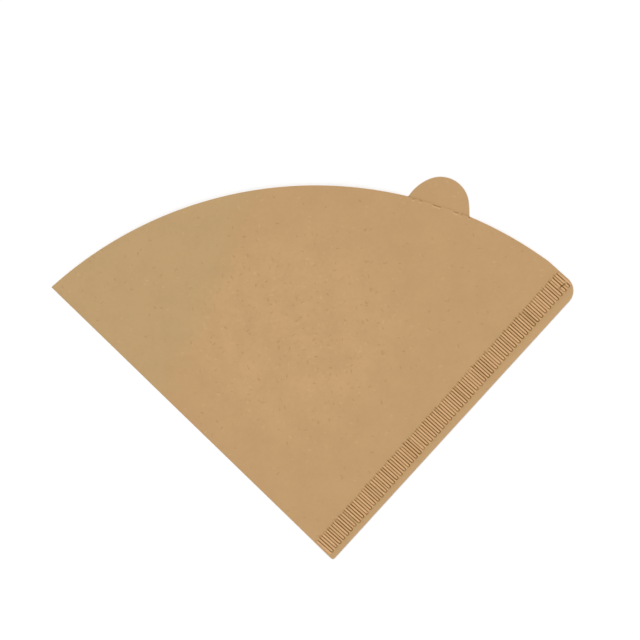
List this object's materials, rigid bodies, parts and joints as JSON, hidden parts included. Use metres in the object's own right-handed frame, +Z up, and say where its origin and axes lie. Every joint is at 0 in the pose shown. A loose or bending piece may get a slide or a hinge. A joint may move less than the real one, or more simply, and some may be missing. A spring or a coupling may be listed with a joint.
{
  "type": "paper coffee filter",
  "caption": "Cone coffee filter of brown paper, folded flat, with a round mouth edge, a crimped side seam and a small round pull tab.",
  "frame": {"origin": "bottom centre of the bounding box, on the plane that the back ply lies on", "axes": "+Z up out of the front ply, +Y from the tip up the middle to the mouth edge, +X across the filter from the folded edge to the seam"},
  "size_m": [0.175, 0.127, 0.0013],
  "materials": {
    "brown_paper": "smooth uncoated unbleached filter paper, matt"
  },
  "bodies": {
    "root": {"filter_sheet": "brown_paper"}
  },
  "joints": []
}
